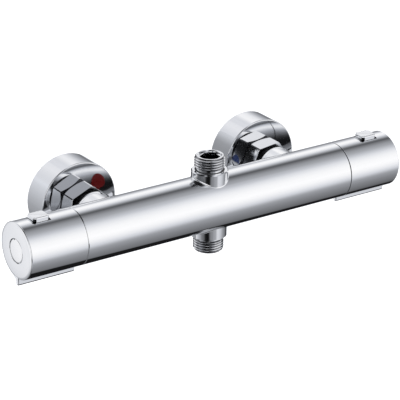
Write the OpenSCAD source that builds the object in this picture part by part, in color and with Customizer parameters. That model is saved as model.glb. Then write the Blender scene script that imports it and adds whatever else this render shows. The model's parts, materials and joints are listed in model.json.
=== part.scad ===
// Exposed thermostatic shower valve: a bar body between two turned knobs, on two wall unions.
// X runs along the bar, Z is up and the finished wall is the plane Y = 0, with the user at -Y.
// The hot inlet is on the left (-X), the cold inlet on the right (+X).

/* [Bar] */
// Outside diameter of the body and the knobs
bar_d = 39; // [38:0.5:44]
// Distance from the finished wall to the axis of the bar
axis_to_wall = 65; // [62:0.5:75]
// Length of the body beyond the axis of each inlet
end_l = 32; // [28:0.5:43]
// Open seam between the body and each knob
seam = 0.6; // [0.4:0.1:1.2]
// Small bevel on both edges of a seam
seam_bevel = 0.35; // [0.1:0.05:0.6]

/* [Inlet legs and unions] */
// Distance between the hot and the cold inlet
inlet_pitch = 150; // [140:1:160]
// Diameter of the round boss that carries each union
leg_d = 28.6; // [27:0.2:30]
// Distance from the wall to the back face of the boss
leg_back = 39; // [37.5:0.25:41]
// Depth of the threaded socket in the boss
leg_socket = 11; // [9:0.5:11.5]
// Major diameter of the tailpiece thread in the boss
tail_thread_d = 20; // [19:0.1:20.4]
// Diameter of the tailpiece neck
neck_d = 22; // [21:0.1:23]
// Bore of the tailpiece
tail_bore_d = 16.1; // [15.5:0.1:17]
// Thickness of the tailpiece flange
tail_flange_t = 2.4; // [1.6:0.1:3]
// Width of the union nut across its flats
nut_af = 29; // [28.5:0.5:32]
// Turn of the left nut's corners about its axis
hot_nut_turn = 22.9; // [0:0.1:60]
// Turn of the right nut's corners about its axis
cold_nut_turn = 7; // [0:0.1:60]
// Thickness of the nut's inner lip
nut_lip = 3.2; // [2:0.1:4]
// Bevel at the front of the nut, measured along its axis
nut_front_bevel = 2.5; // [1:0.1:3]
// Bevel at the back of the nut, measured along its axis
nut_back_bevel = 1; // [0.5:0.1:1.5]
// Thickness of the sealing washer
washer_t = 2; // [1.5:0.1:2.5]

/* [Wall unions and covers] */
// Major diameter of the G3/4 thread
g34_d = 26.44; // [26.4:0.02:26.5]
// Major diameter of the G1/2 thread
g12_d = 20.955; // [20.9:0.005:21]
// Drop from the leg to the wall inlet
eccentricity = 6; // [3:0.5:8]
// Length of the wall thread past the finished wall
wall_thread_l = 18; // [14:0.5:24]
// Outside diameter of the wall cover
cover_d = 57.5; // [54:0.5:64]
// Depth of the wall cover
cover_depth = 20; // [18:0.25:21]
// Sheet thickness of the wall cover
cover_t = 0.9; // [0.6:0.1:1.2]
// Rounding of the cover's front edge
cover_round = 1.5; // [1.2:0.1:3]

/* [Outlets] */
// Diameter of the outlet collars
collar_d = 25.2; // [23.8:0.1:27]
// Height of a collar's face above the axis of the bar
collar_h = 24; // [23:0.25:27]
// Height of a nipple's end above the axis of the bar
nipple_h = 34.3; // [33:0.1:40]
// Diameter of the nipple's inner spigot
spigot_d = 16.8; // [16:0.1:17.4]
// Width across flats of the hexagon socket
hex_af = 12; // [10:0.5:12.5]
// Diameter of the open mouth of a nipple
mouth_d = 15.2; // [14.6:0.1:16]

/* [Knobs] */
// Length of a knob
knob_l = 42.4; // [38:0.2:52]
// Wall of a knob's barrel
knob_wall = 2.2; // [1.8:0.1:2.6]
// Thickness of a knob's end
knob_end = 3; // [2.6:0.1:4]
// Rounding of a knob's outer edge
knob_round = 0.9; // [0.6:0.1:1.8]
// Diameter of the cap over the screw
cap_d = 16.2; // [14:0.1:17]
// Thickness of the lever fin
fin_t = 3; // [2.4:0.1:4]
// Height of the lever fin under the barrel
fin_h = 4.3; // [2.5:0.1:6]
// Offset of the fin's front face in front of the axis
fin_front = 2.4; // [1.2:0.1:3]
// Radius of the hollow behind the fin
fin_fillet = 2.5; // [1:0.1:3]

/* [Buttons] */
// Length of a button along the bar
button_l = 12; // [11:0.5:15]
// Width of a button round the bar
button_w = 10.4; // [9:0.1:10.8]
// Height of a button above the barrel
button_h = 2.4; // [2.1:0.1:3]
// Travel of a button
button_travel = 2; // [1.5:0.1:2]
// Distance from the knob's inner edge to the button's middle
button_at = 25.6; // [23:0.1:27]
// Bevel round the top of a button
button_bevel = 0.7; // [0.3:0.1:1]

/* [Cartridges] */
// Diameter of the seats for both cartridges
seat_d = 29.2; // [28.8:0.1:30]
// Depth of the flow cartridge's seat
flow_seat = 19; // [19:0.25:20]
// Diameter of the spindles
spindle_d = 8.8; // [8:0.1:9.2]
// Number of teeth on each spindle's spline
teeth = 20; // [12:1:24]
// Diameter of the ceramic discs
disc_d = 24; // [23.4:0.1:24]
// Thickness of a ceramic disc
disc_t = 3.5; // [3:0.1:3.5]
// Bore of the thermostat's sleeve, in which the shuttle slides
sleeve_bore = 20.2; // [19.6:0.1:20.4]
// Room for the shuttle between its hot and its cold seat
shuttle_room = 2.4; // [2.3:0.05:2.7]
// Length of the shuttle
shuttle_l = 14; // [13.6:0.1:14.2]
// Diameter of the wax element's bulb
bulb_d = 8.8; // [7.6:0.1:9]
// Diameter of the wax element's piston
piston_d = 3; // [2.4:0.1:3.2]

/* [Check valves] */
// Outside diameter of the check valve's cage
cage_d = 15.9; // [15.3:0.1:15.9]
// Length of the check valve's cage
cage_l = 17; // [15:0.25:17.5]
// Diameter of the poppet's head
poppet_d = 11.2; // [10.4:0.1:11.6]
// Lift of the poppet
poppet_lift = 2.5; // [1.5:0.1:3]

/* [Markers] */
// Diameter of the red and the blue marker on the back of the body
marker_d = 12; // [8:0.5:13]
// Distance of each marker from the middle of the body
marker_x = 44; // [34:0.5:50]

/* [Hidden] */

$fn = 96;
// Slack of a turning or sliding fit, per side
fit = 0.1;
// Slack between fixed pieces that are assembled by hand, per side
slack = 0.05;
// Overrun that keeps a cut clean
over = 0.2;

bar_r = bar_d / 2;
inlet_x = inlet_pitch / 2;
end_x = inlet_x + end_l;
leg_r = leg_d / 2;
seat_r = seat_d / 2;
spindle_r = spindle_d / 2;
collar_r = collar_d / 2;
g12_r = g12_d / 2;
g34_r = g34_d / 2;

// Waterways in the body
mixed_r = 3.8;
outlet_r = 3.2;
outlet_off = 9;
hot_r = 3.2;
hot_off = 12.4;
flow_floor = end_x - flow_seat;
thermo_inset = 23;
thermo_floor = inlet_x - thermo_inset;
nose_r = 7.8;
nose_l = 5.5;
port_r = 7;
spigot_floor = 5.8;
socket_end = leg_back + leg_socket;
hot_reach = axis_to_wall - hot_off + hot_r / 2;
cold_reach = axis_to_wall - seat_r + 3;

// Distances from the wall along a leg
nut_back = cover_depth + 0.3;
tail_reach = 11.4;
tail_face = leg_back - tail_reach;
washer_face = tail_face - washer_t;
lip_back = tail_face + tail_flange_t + fit;
nut_front = lip_back + nut_lip;
cage_back = tail_face + 0.8;
cage_front = cage_back + cage_l;

// Places along the bar, counted outwards from the body's end face
flange_t = 3;
flange_r = bar_r - 4;
neck_r = 8;
neck_end = 9;
spline_start = neck_end + 0.5;
spline_l = 10.5;
hub_start = neck_end + 1;
screw_seat = spline_start + spline_l + 3.5;
knob_out = seam + knob_l;
stop_t = 4;
stop_root = 10.4;
stop_tip = bar_r - knob_wall - 0.8;

module on_bar() {
    translate([0, -axis_to_wall, 0]) children();
}

// Turns a form that rises along Z so that it runs along X
module along_x() {
    rotate([0, 90, 0]) children();
}

// Places a form that rises along Z so that its height is the distance from the wall
module from_wall(x) {
    translate([x, 0, 0]) rotate([90, 0, 0]) children();
}

// Right end of the bar, with heights counted outwards from the body's end face
module right_end() {
    on_bar() translate([end_x, 0, 0]) along_x() children();
}

module left_end() {
    mirror([1, 0, 0]) right_end() children();
}

module tube(outer, inner, from, to) {
    translate([0, 0, from])
        difference() {
            cylinder(r = outer, h = to - from);
            translate([0, 0, -over]) cylinder(r = inner, h = to - from + 2 * over);
        }
}

module rod(r, from, to) {
    translate([0, 0, from]) cylinder(r = r, h = to - from);
}

// Corner that a rounding takes off a square edge, with the round's centre at the origin
module corner(r) {
    difference() {
        square([r + over, r + over]);
        circle(r = r);
    }
}

// Rounded bead of a sealing ring
module ring_seal(major, minor, at) {
    translate([0, 0, at])
        rotate_extrude()
            translate([major, 0]) circle(r = minor, $fn = 32);
}

// Open coil spring, swept by a formula
module coil(mean_r, wire_r, turns, from, to) {
    steps = 14;
    sides = 6;
    last = turns * steps;
    rise = (to - from - 2 * wire_r) / last;
    points = [
        for (i = [0 : last], j = [0 : sides - 1])
            let (turn = i * 360 / steps, side = j * 360 / sides, r = mean_r + wire_r * cos(side))
            [r * cos(turn), r * sin(turn), from + wire_r + i * rise + wire_r * sin(side)]
    ];
    walls = [
        for (i = [0 : last - 1], j = [0 : sides - 1])
            let (a = i * sides + j, b = i * sides + (j + 1) % sides)
            each [[a, a + sides, b], [b, a + sides, b + sides]]
    ];
    first_cap = [for (j = [1 : sides - 2]) [0, j, j + 1]];
    last_cap = [for (j = [1 : sides - 2]) let (k = last * sides) [k, k + j + 1, k + j]];
    polyhedron(points = points, faces = concat(walls, first_cap, last_cap));
}

// Outline of the spline, with straight-sided teeth
module spline(root, tip) {
    step = 360 / teeth;
    polygon([
        for (i = [0 : teeth - 1], k = [0 : 3])
            let (a = (i + [0.05, 0.3, 0.55, 0.8][k]) * step, r = (k == 1 || k == 2) ? tip : root)
            [r * cos(a), r * sin(a)]
    ]);
}

// Body: bar, two leg bosses and two outlet collars in one casting

module collar_boss() {
    bevel = 0.7;
    rod(collar_r, 0, collar_h - bevel);
    translate([0, 0, collar_h - bevel]) cylinder(r1 = collar_r, r2 = collar_r - bevel, h = bevel);
}

module leg_boss() {
    rim = 0.6;
    rotate_extrude()
        difference() {
            translate([0, leg_back]) square([leg_r, axis_to_wall - leg_back]);
            translate([leg_r - rim, leg_back + rim]) mirror([0, 1]) corner(rim);
        }
}

module body_outside() {
    on_bar() along_x() rod(bar_r, seam_bevel - end_x, end_x - seam_bevel);
    for (side = [0, 1])
        mirror([side, 0, 0])
            on_bar() translate([end_x - seam_bevel, 0, 0]) along_x()
                cylinder(r1 = bar_r, r2 = bar_r - seam_bevel, h = seam_bevel);
    on_bar() collar_boss();
    on_bar() mirror([0, 0, 1]) collar_boss();
    for (x = [-inlet_x, inlet_x]) from_wall(x) leg_boss();
}

module marker_pocket(x, slop) {
    depth = 2.4;
    from_wall(x) rod(marker_d / 2 + slop, axis_to_wall - bar_r - over, axis_to_wall - bar_r + depth);
}

module body() color([0.80, 0.81, 0.83]) {
    difference() {
        body_outside();
        left_end() rod(seat_r, -flow_seat, over);
        right_end() rod(seat_r, thermo_floor - end_x, over);
        on_bar() along_x() rod(nose_r + slack, thermo_floor - nose_l - slack, thermo_floor + over);
        on_bar() along_x() rod(mixed_r, -flow_floor - over, thermo_floor - nose_l);
        for (z = [-outlet_off, outlet_off])
            on_bar() translate([0, 0, z]) along_x() rod(outlet_r, -flow_floor - over, outlet_r);
        on_bar() translate([0, hot_off, 0]) along_x() rod(hot_r, -inlet_x - hot_r, thermo_floor + over);
        for (x = [-inlet_x, inlet_x])
            from_wall(x) rod(tail_thread_d / 2 + slack, leg_back - over, socket_end);
        from_wall(-inlet_x) rod(port_r, socket_end - over, hot_reach);
        from_wall(inlet_x) rod(port_r, socket_end - over, cold_reach);
        for (side = [0, 1])
            mirror([0, 0, side]) on_bar() outlet_socket();
        marker_pocket(-marker_x, slack);
        marker_pocket(marker_x, slack);
    }
}

gasket_t = 0.8;
gasket_r = g12_r - 0.3;

module outlet_socket() {
    rod(spigot_d / 2 + slack, spigot_floor, collar_h + over);
    rod(gasket_r + slack, collar_h - gasket_t, collar_h + over);
}

module marker(x) {
    proud = 0.15;
    intersection() {
        marker_pocket(x, 0);
        on_bar() along_x() translate([0, 0, x - marker_d]) cylinder(r = bar_r + proud, h = 2 * marker_d);
    }
}

module hot_marker() color([0.75, 0.04, 0.05]) {
    marker(-marker_x);
}

module cold_marker() color([0.05, 0.15, 0.6]) {
    marker(marker_x);
}

// Outlet nipples: G1/2 outside, hexagon socket inside, undercut above the collar

module nipple() {
    undercut = 1.6;
    undercut_r = g12_r - 1.25;
    lead = 1.2;
    lip = 1.2;
    mouth_depth = 2;
    spigot_l = 13;
    socket_l = 10;
    bore_r = 5.4;
    spigot_end = collar_h - spigot_l;
    difference() {
        union() {
            rod(spigot_d / 2, spigot_end, collar_h + over);
            rod(undercut_r, collar_h, collar_h + undercut);
            rod(g12_r, collar_h + undercut, nipple_h - lead);
            translate([0, 0, nipple_h - lead]) cylinder(r1 = g12_r, r2 = g12_r - lead, h = lead);
        }
        rod(bore_r, spigot_end - over, nipple_h);
        translate([0, 0, nipple_h - mouth_depth - socket_l])
            cylinder(d = hex_af / cos(30), h = socket_l + over, $fn = 6);
        rod(mouth_d / 2, nipple_h - mouth_depth, nipple_h + over);
        translate([0, 0, nipple_h - lip / 2])
            cylinder(r1 = mouth_d / 2, r2 = mouth_d / 2 + lip, h = lip);
    }
}

module top_nipple() color([0.82, 0.83, 0.85]) {
    on_bar() nipple();
}

module bottom_nipple() color([0.82, 0.83, 0.85]) {
    mirror([0, 0, 1]) on_bar() nipple();
}

module nipple_gaskets() color([0.12, 0.12, 0.12]) {
    for (side = [0, 1])
        mirror([0, 0, side])
            on_bar() tube(gasket_r, spigot_d / 2 + slack, collar_h - gasket_t, collar_h);
}

// Inlet tailpieces, union nuts, washers and strainers

module tailpiece() {
    stop_lip = 1.6;
    stop_t = 2.6;
    difference() {
        union() {
            rod(g34_r - 0.35, tail_face, tail_face + tail_flange_t);
            rod(neck_d / 2, tail_face, leg_back);
            rod(tail_thread_d / 2, leg_back - over, socket_end - slack);
        }
        rod(tail_bore_d / 2, tail_face - over, cage_front + fit);
        rod(tail_bore_d / 2 - stop_lip, tail_face, socket_end + stop_t);
    }
}

module hot_tailpiece() color([0.82, 0.83, 0.85]) {
    from_wall(-inlet_x) tailpiece();
}

module cold_tailpiece() color([0.82, 0.83, 0.85]) {
    from_wall(inlet_x) tailpiece();
}

module union_nut(turn) {
    corner_r = nut_af / 2 / cos(30);
    back_slope = 30;
    clear_r = corner_r + over;
    difference() {
        intersection() {
            translate([0, 0, nut_back - over])
                rotate([0, 0, turn]) cylinder(r = corner_r, h = nut_front - nut_back + 2 * over, $fn = 6);
            rotate_extrude()
                polygon([
                    [0, nut_back],
                    [corner_r - nut_back_bevel / tan(back_slope), nut_back],
                    [clear_r, nut_back + nut_back_bevel + over * tan(back_slope)],
                    [clear_r, nut_front - nut_front_bevel - over],
                    [corner_r - nut_front_bevel, nut_front],
                    [0, nut_front]
                ]);
        }
        rod(g34_r + slack, nut_back - over, lip_back);
        rod(neck_d / 2 + fit, nut_back, nut_front + over);
    }
}

module hot_union_nut() color([0.78, 0.79, 0.81]) {
    from_wall(-inlet_x) union_nut(hot_nut_turn);
}

module cold_union_nut() color([0.78, 0.79, 0.81]) {
    from_wall(inlet_x) union_nut(cold_nut_turn);
}

washer_bore = 9;

module inlet_washers() color([0.15, 0.15, 0.15]) {
    for (x = [-inlet_x, inlet_x])
        from_wall(x) tube(g34_r - 0.4, washer_bore, washer_face, tail_face);
}

module strainer() {
    sheet = 0.8;
    hole_r = 0.8;
    hole_gap = 3;
    mid = (washer_face + tail_face - sheet) / 2;
    difference() {
        rod(washer_bore - slack, mid, mid + sheet);
        for (row = [-2 : 2], col = [-2 : 2])
            let (x = (col + row / 2) * hole_gap, y = row * hole_gap * sin(60))
            if (norm([x, y]) < washer_bore - 2 * hole_r)
                translate([x, y, 0]) rod(hole_r, mid - over, mid + sheet + over);
    }
}

module inlet_strainers() color([0.7, 0.7, 0.68]) {
    for (x = [-inlet_x, inlet_x]) from_wall(x) strainer();
}

// Check valve in each tailpiece: cage, sprung poppet and sealing ring

cage_wall = 1.6;
cage_inlet_r = 4.6;
cage_seat_t = 2.6;
spider_t = 2;
poppet_stem_r = 1.4;
poppet_head_t = 1.7;
poppet_back = cage_back + cage_seat_t + 0.3;
cage_ring_minor = 0.55;
cage_ring_major = tail_bore_d / 2 - cage_ring_minor;
cage_ring_at = cage_back + 7.5;

module check_cage() {
    spokes = 3;
    spoke_w = 1.8;
    hub_r = 2.8;
    inner_r = cage_d / 2 - cage_wall;
    difference() {
        rod(cage_d / 2, cage_back, cage_front);
        rod(cage_inlet_r, cage_back - over, cage_front);
        rod(inner_r, cage_back + cage_seat_t, cage_front + over);
        tube(cage_d / 2 + over, cage_ring_major - cage_ring_minor,
            cage_ring_at - cage_ring_minor, cage_ring_at + cage_ring_minor);
    }
    difference() {
        union() {
            rod(hub_r, cage_front - spider_t, cage_front);
            for (i = [1 : spokes])
                rotate([0, 0, i * 360 / spokes])
                    translate([0, -spoke_w / 2, cage_front - spider_t])
                        cube([inner_r + cage_wall / 2, spoke_w, spider_t]);
        }
        rod(poppet_stem_r + fit, cage_front - spider_t - over, cage_front + over);
    }
}

module hot_check_cage() color([0.9, 0.9, 0.88]) {
    from_wall(-inlet_x) check_cage();
}

module cold_check_cage() color([0.9, 0.9, 0.88]) {
    from_wall(inlet_x) check_cage();
}

module check_poppet() {
    nose = 0.9;
    rod(poppet_d / 2, poppet_back, poppet_back + poppet_head_t);
    translate([0, 0, poppet_back - nose])
        cylinder(r1 = cage_inlet_r - 2 * nose, r2 = cage_inlet_r - nose / 2, h = nose);
    rod(poppet_stem_r, poppet_back, cage_front - fit);
}

module hot_check_poppet() color([0.2, 0.35, 0.6]) {
    from_wall(-inlet_x) check_poppet();
}

module cold_check_poppet() color([0.2, 0.35, 0.6]) {
    from_wall(inlet_x) check_poppet();
}

module check_spring() {
    coil(3.4, 0.35, 6, poppet_back + poppet_head_t, cage_front - spider_t);
}

module hot_check_spring() color([0.6, 0.6, 0.62]) {
    from_wall(-inlet_x) check_spring();
}

module cold_check_spring() color([0.6, 0.6, 0.62]) {
    from_wall(inlet_x) check_spring();
}

module check_cage_seals() color([0.1, 0.1, 0.1]) {
    for (x = [-inlet_x, inlet_x])
        from_wall(x) ring_seal(cage_ring_major, cage_ring_minor, cage_ring_at);
}

// Eccentric wall unions and the covers over them

module wall_union() {
    block_back = 4.5;
    block_front = 12;
    block_r = g34_r - 0.9;
    front_bore = 9;
    back_bore = 7.2;
    lead = 1;
    bore_meet = (block_back + block_front) / 2;
    difference() {
        union() {
            rod(g34_r, block_front - over, washer_face - lead);
            translate([0, 0, washer_face - lead]) cylinder(r1 = g34_r, r2 = g34_r - lead, h = lead);
            rod(block_r, block_back, block_front);
            translate([0, -eccentricity, 0]) rod(block_r, block_back, block_front);
            translate([-block_r, -eccentricity, block_back])
                cube([2 * block_r, eccentricity, block_front - block_back]);
            translate([0, -eccentricity, 0]) rod(g12_r, lead - wall_thread_l, block_back + over);
            translate([0, -eccentricity, -wall_thread_l]) cylinder(r1 = g12_r - lead, r2 = g12_r, h = lead);
        }
        rod(front_bore, bore_meet - over, washer_face + over);
        translate([0, -eccentricity, 0]) rod(back_bore, -wall_thread_l - over, bore_meet);
    }
}

module hot_wall_union() color([0.75, 0.68, 0.45]) {
    from_wall(-inlet_x) wall_union();
}

module cold_wall_union() color([0.75, 0.68, 0.45]) {
    from_wall(inlet_x) wall_union();
}

module wall_cover() {
    cover_r = cover_d / 2;
    hole_r = g34_r + 0.3;
    rotate_extrude()
        difference() {
            translate([hole_r, 0]) square([cover_r - hole_r, cover_depth]);
            translate([cover_r - cover_round, cover_depth - cover_round]) corner(cover_round);
            difference() {
                translate([hole_r - over, -over]) square([cover_r - hole_r + over - cover_t,
                    cover_depth - cover_t + over]);
                translate([cover_r - cover_round, cover_depth - cover_round])
                    corner(cover_round - cover_t);
            }
        }
}

module hot_wall_cover() color([0.8, 0.81, 0.83]) {
    from_wall(-inlet_x) wall_cover();
}

module cold_wall_cover() color([0.8, 0.81, 0.83]) {
    from_wall(inlet_x) wall_cover();
}

// Knobs: barrel, end, splined hub, slot for the button and lever fin in one piece

hub_r = 9;
access_r = 5.2;
cap_recess = 1.9;
screw_r = 2;
spline_root = spindle_r - 0.75;
spline_tip = spindle_r - 0.05;

// The fin's outline across the bar: x is the height above the axis, negated by the turn along X
module fin_outline() {
    tip = bar_r + fin_h;
    back = fin_t - fin_front;
    hollow_y = back + fin_fillet;
    hollow_x = sqrt(pow(bar_r + fin_fillet, 2) - pow(hollow_y, 2));
    tip_round = min(0.6, fin_h / 4);
    sunk = knob_wall / 2;
    difference() {
        translate([bar_r - sunk, -fin_front]) square([fin_h + sunk, fin_t]);
        translate([tip - tip_round, back - tip_round]) corner(tip_round);
        translate([tip - tip_round, tip_round - fin_front]) mirror([0, 1]) corner(tip_round);
    }
    difference() {
        intersection() {
            polygon([[bar_r - sunk, back - over], [hollow_x, back - over], [hollow_x, hollow_y],
                [hollow_x * (bar_r - sunk) / (bar_r + fin_fillet),
                    hollow_y * (bar_r - sunk) / (bar_r + fin_fillet)]]);
            translate([0, back - over]) square([tip - tip_round, fin_fillet + over]);
        }
        translate([hollow_x, hollow_y]) circle(r = fin_fillet);
    }
}

module barrel() {
    inner = bar_r - knob_wall;
    rotate_extrude()
        difference() {
            translate([0, seam]) square([bar_r, knob_l]);
            translate([bar_r - knob_round, knob_out - knob_round]) corner(knob_round);
            polygon([[bar_r - seam_bevel, seam], [bar_r + over, seam - over],
                [bar_r + over, seam + seam_bevel], [bar_r, seam + seam_bevel]]);
            translate([hub_r, seam - over]) square([inner - hub_r, knob_l - knob_end + over]);
            translate([0, seam - over]) square([hub_r + over, hub_start - seam + over]);
        }
}

module slot_box(slop, from, to) {
    translate([-to, -button_w / 2 - slop, seam + button_at - button_l / 2 - slop])
        cube([to - from, button_w + 2 * slop, button_l + 2 * slop]);
}

button_slop = 0.3;

module knob() {
    difference() {
        union() {
            barrel();
            translate([0, 0, seam]) linear_extrude(knob_l) fin_outline();
        }
        slot_box(button_slop, bar_r - 2 * knob_wall, bar_r + over);
        translate([0, 0, hub_start - over])
            linear_extrude(spline_l + over + 0.5) spline(spline_root + fit, spline_tip + fit);
        rod(screw_r + fit, spline_start, screw_seat + over);
        rod(access_r, screw_seat, knob_out);
        rod(cap_d / 2 + 0.25, knob_out - cap_recess, knob_out + over);
    }
}

module flow_knob() color([0.80, 0.81, 0.83]) {
    left_end() knob();
}

module temp_knob() color([0.80, 0.81, 0.83]) {
    right_end() knob();
}

// Cap over the screw, with a pry notch at its top and a hollow stem in the hub
module cap() {
    bevel = 0.35;
    stem_l = 5;
    stem_wall = 0.9;
    notch_w = 1.6;
    notch_d = 0.7;
    notch_turn = 16;
    top = knob_out - 0.05;
    face = knob_out - cap_recess + slack;
    difference() {
        union() {
            rod(cap_d / 2, face, top - bevel);
            translate([0, 0, top - bevel]) cylinder(r1 = cap_d / 2, r2 = cap_d / 2 - bevel, h = bevel);
        }
        rotate([0, 0, -notch_turn])
            translate([-cap_d / 2 - over, -notch_w / 2, top - notch_d])
                cube([notch_d + over, notch_w, notch_d + over]);
    }
    tube(access_r - slack, access_r - stem_wall, face - stem_l, face + over);
}

module flow_cap() color([0.86, 0.87, 0.88]) {
    left_end() cap();
}

module temp_cap() color([0.86, 0.87, 0.88]) {
    right_end() cap();
}

module screw() {
    head_r = 3.9;
    head_h = 2.6;
    length = 12;
    hex = 3;
    difference() {
        union() {
            rod(screw_r - slack, screw_seat - length, screw_seat + over);
            rod(head_r, screw_seat, screw_seat + head_h);
        }
        translate([0, 0, screw_seat + head_h - 1.6])
            cylinder(d = hex / cos(30), h = 1.6 + over, $fn = 6);
    }
}

module flow_screw() color([0.62, 0.62, 0.6]) {
    left_end() screw();
}

module temp_screw() color([0.62, 0.62, 0.6]) {
    right_end() screw();
}

// Safety button: bevelled cap, retaining foot inside the barrel, arm and tooth to the stop ring

foot_side = 1.4;
foot_t = 1.2;
button_top = bar_r + button_h;
foot_w = button_w + 2 * foot_side;
foot_top = sqrt(pow(bar_r - knob_wall, 2) - pow(foot_w / 2, 2)) - 0.3;
button_mid = seam + button_at;
spring_pocket_r = 3.6;
tooth_w = 4.4;
tooth_t = 2.4;
tooth_at = flange_t + 0.8;
arm_t = 1.5;

module button() {
    foot_bottom = foot_top - foot_t - 1;
    difference() {
        union() {
            slot_box(0, foot_bottom, button_top - button_bevel);
            intersection() {
                slot_box(0, button_top - button_bevel - over, button_top);
                button_crown();
            }
            translate([-foot_top, -foot_w / 2, button_mid - button_l / 2 - foot_side])
                cube([foot_t, foot_w, button_l + 2 * foot_side]);
            translate([-foot_bottom - arm_t, -tooth_w / 2, tooth_at])
                cube([arm_t, tooth_w, button_mid - tooth_at]);
            translate([-foot_top, -tooth_w / 2, tooth_at])
                cube([foot_top - foot_bottom, tooth_w, tooth_t]);
        }
        translate([-button_top + knob_wall, 0, button_mid])
            rotate([0, 90, 0]) cylinder(r = spring_pocket_r, h = button_top - foot_bottom);
    }
}

// Four sloped sides of the button's top, as two crossed prisms
module button_crown() {
    low = button_top - 3;
    wide = button_w / 2;
    long = button_l / 2;
    intersection() {
        translate([0, 0, button_mid - button_l])
            linear_extrude(2 * button_l)
                polygon([[-low, -wide], [-low, wide], [button_bevel - button_top, wide],
                    [-button_top, wide - button_bevel], [-button_top, button_bevel - wide],
                    [button_bevel - button_top, -wide]]);
        translate([0, button_w, button_mid])
            rotate([90, 0, 0])
                linear_extrude(2 * button_w)
                    polygon([[-low, -long], [-low, long], [button_bevel - button_top, long],
                        [-button_top, long - button_bevel], [-button_top, button_bevel - long],
                        [button_bevel - button_top, -long]]);
    }
}

module flow_button() color([0.84, 0.85, 0.87]) {
    left_end() button();
}

module temp_button() color([0.84, 0.85, 0.87]) {
    right_end() button();
}

module button_spring() {
    translate([0, 0, button_mid])
        rotate([0, -90, 0])
            coil(2.7, 0.35, 6, hub_r + slack, button_top - knob_wall);
}

module flow_button_spring() color([0.6, 0.6, 0.62]) {
    left_end() button_spring();
}

module temp_button_spring() color([0.6, 0.6, 0.62]) {
    right_end() button_spring();
}

// Stop rings on the headparts' necks: the lug fills the arc that the button's tooth never enters
module stop_ring(lug_from, lug_to) {
    tube(stop_root, neck_r + slack, flange_t, flange_t + stop_t);
    intersection() {
        tube(stop_tip, stop_root - over, flange_t, flange_t + stop_t);
        translate([0, 0, flange_t])
            linear_extrude(stop_t)
                polygon(concat([[0, 0]], [
                    for (i = [0 : 6])
                        let (a = lug_from + (lug_to - lug_from) * i / 6)
                        [-2 * bar_r * cos(a), 2 * bar_r * sin(a)]
                ]));
    }
}

// Arcs are counted from the top of the bar, towards the wall when positive
flow_lug = [102, 258];
temp_lug = [222, 273];

module flow_stop_ring() color([0.25, 0.25, 0.27]) {
    left_end() stop_ring(flow_lug[0], flow_lug[1]);
}

module temp_stop_ring() color([0.25, 0.25, 0.27]) {
    right_end() stop_ring(temp_lug[0], temp_lug[1]);
}

// Headparts: threaded brass bodies that hold a cartridge in its seat

head_r = seat_r - 0.2;
head_seal_minor = 0.95;
head_seal_major = seat_r - head_seal_minor - slack;
head_seal_at = -4.5;
stem_seal_minor = 0.7;
stem_seal_major = spindle_r - stem_seal_minor;
stem_seal_at = 2;

module headpart(inner_end) {
    difference() {
        union() {
            rod(head_r, inner_end, over);
            rod(flange_r, 0, flange_t);
            rod(neck_r, 0, neck_end);
        }
        rod(spindle_r + fit, inner_end - over, neck_end + over);
        tube(head_r + over, head_seal_major - head_seal_minor,
            head_seal_at - head_seal_minor - slack, head_seal_at + head_seal_minor + slack);
    }
}

module spindle_top() {
    hole_l = 11;
    spline_top = spline_start + spline_l;
    difference() {
        union() {
            rod(spindle_r, -1, spline_start);
            translate([0, 0, spline_start - over])
                linear_extrude(spline_l + over) spline(spline_root, spline_tip);
        }
        rod(screw_r, spline_top - hole_l, spline_top + over);
        tube(spindle_r + over, stem_seal_major - stem_seal_minor,
            stem_seal_at - stem_seal_minor - slack, stem_seal_at + stem_seal_minor + slack);
    }
}

// Flow side: base seal, fixed disc, moving disc, spindle and headpart

base_seal_t = 1.5;
fixed_at = base_seal_t - flow_seat;
moving_at = fixed_at + disc_t;
foot_at = moving_at + disc_t;
foot_h = 2.6;
disc_r = disc_d / 2;
lug_w = 4;
lug_h = 1.5;

module three_ports(r, from, to) {
    for (z = [-outlet_off, 0, outlet_off])
        translate([z, 0, 0]) rod(r, from, to);
}

module flow_base_seal() color([0.12, 0.12, 0.12]) {
    left_end()
        difference() {
            rod(disc_r, -flow_seat, fixed_at);
            three_ports(2.7, -flow_seat - over, fixed_at + over);
        }
}

module flow_fixed_disc() color([0.95, 0.94, 0.9]) {
    left_end()
        difference() {
            rod(disc_r, fixed_at, moving_at);
            three_ports(2.4, fixed_at - over, moving_at + over);
        }
}

// The blind groove joins the middle port to one outlet after a quarter turn
module flow_moving_disc() color([0.93, 0.9, 0.82]) {
    groove_w = 4.6;
    groove_h = 1.4;
    left_end()
        difference() {
            rod(disc_r - fit, moving_at, foot_at);
            translate([-groove_w / 2, -groove_w / 2, moving_at - over])
                cube([groove_w, outlet_off + groove_w, groove_h + over]);
            translate([-disc_r, -lug_w / 2 - slack, foot_at - lug_h])
                cube([2 * disc_r, lug_w + 2 * slack, lug_h + over]);
        }
}

module flow_spindle() color([0.78, 0.7, 0.45]) {
    left_end() {
        rod(disc_r - 2.4, foot_at, foot_at + foot_h);
        rod(spindle_r, foot_at + foot_h - over, 0);
        intersection() {
            rod(disc_r - 2.4, foot_at - lug_h, foot_at + over);
            translate([-disc_r, -lug_w / 2, foot_at - lug_h + slack])
                cube([2 * disc_r, lug_w, lug_h + over]);
        }
        spindle_top();
    }
}

module flow_spindle_seal() color([0.1, 0.1, 0.1]) {
    left_end() ring_seal(stem_seal_major, stem_seal_minor, stem_seal_at);
}

module flow_headpart() color([0.78, 0.68, 0.4]) {
    skirt = 0.5 - flow_seat;
    left_end()
        difference() {
            headpart(skirt);
            rod(disc_r + fit, skirt - over, foot_at + foot_h + 2 * fit);
        }
}

module flow_headpart_seal() color([0.1, 0.1, 0.1]) {
    left_end() ring_seal(head_seal_major, head_seal_minor, head_seal_at);
}

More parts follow.
